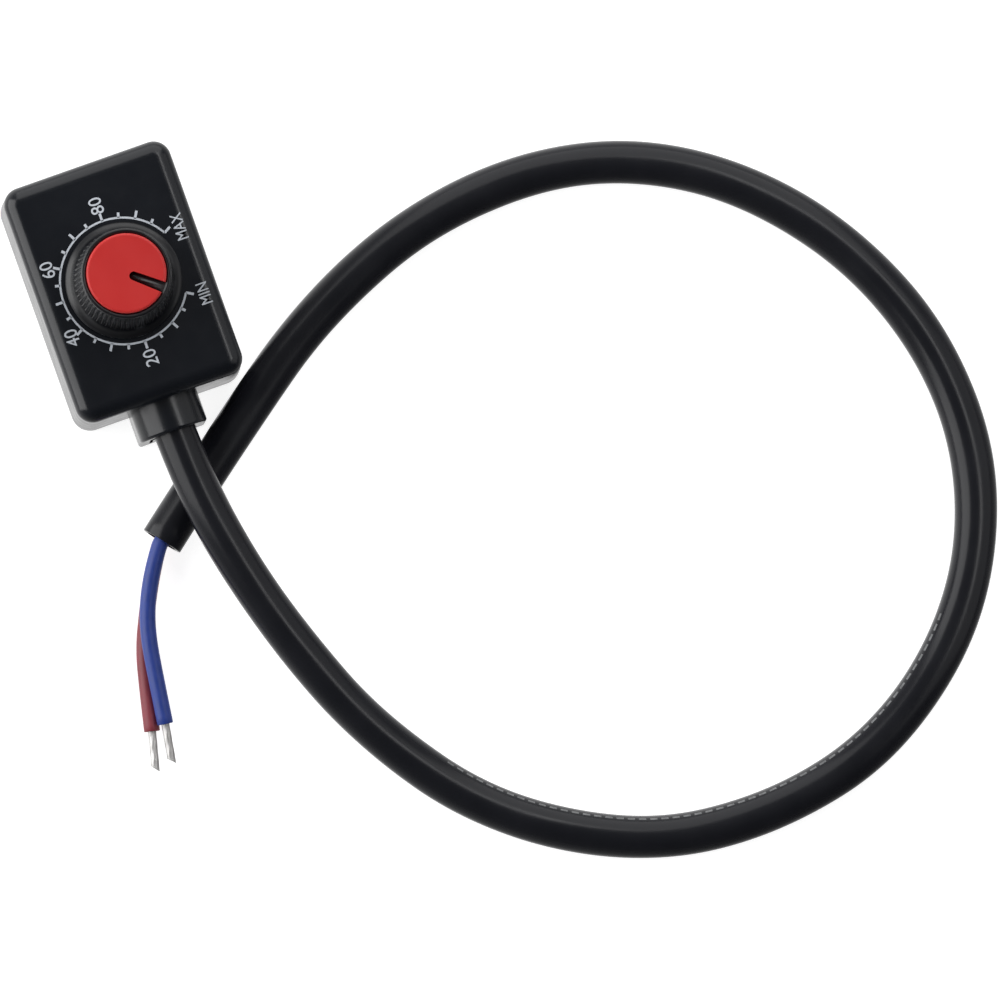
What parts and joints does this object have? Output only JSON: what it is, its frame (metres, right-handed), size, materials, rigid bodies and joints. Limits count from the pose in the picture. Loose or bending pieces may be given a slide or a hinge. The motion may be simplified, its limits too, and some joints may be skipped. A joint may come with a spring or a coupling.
{
  "type": "rotary led dimmer",
  "caption": "Small box-shaped rotary dimmer for LED drivers: fluted knob with red cap over a printed dial, and a two-core cord with stripped ends from a collar.",
  "frame": {"origin": "middle of the base, on the surface that the box stands on, under the knob's axis", "axes": "+Z out of the dial face along the knob's axis, +Y along the box away from the cord, +X across the box"},
  "size_m": [0.1183, 0.112, 0.0324],
  "materials": {
    "housing": "satin black moulded plastic",
    "knob_black": "satin black moulded plastic",
    "knob_red": "satin red moulded plastic",
    "cord_black": "satin black flexible sheath",
    "core_blue": "smooth blue insulation",
    "core_red": "smooth red insulation",
    "tinned_copper": "tinned strands",
    "solder": "bright solder",
    "plated_brass": "nickel plated",
    "steel": "plain",
    "shaft_metal": "turned",
    "board": "laminated board",
    "rotor_plastic": "moulded"
  },
  "bodies": {
    "housing": {"upper_shell": "housing", "base_cover": "housing", "cord_jacket": "cord_black", "core_blue": "core_blue", "lead_blue": "core_blue", "core_red": "core_red", "lead_red": "core_red", "tinned_end_blue": "tinned_copper", "tinned_end_red": "tinned_copper", "lead_conductors": "tinned_copper", "solder_joints": "solder", "pot_bushing": "plated_brass", "pot_nut": "plated_brass", "pot_lugs": "plated_brass", "pot_washer": "steel", "pot_case": "steel", "cover_screws": "steel", "pot_wafer": "board"},
    "knob": {"knob_body": "knob_black", "knob_cap": "knob_red", "pot_shaft": "shaft_metal", "shaft_clip": "steel", "pot_rotor": "rotor_plastic", "pot_wiper": "plated_brass"}
  },
  "joints": [
    {"name": "knob_turn", "type": "hinge", "parent": "housing", "child": "knob", "pos_m": [0, 0, 0.017], "axis": [0, 0, -1], "range_deg": [-10, 290]}
  ]
}
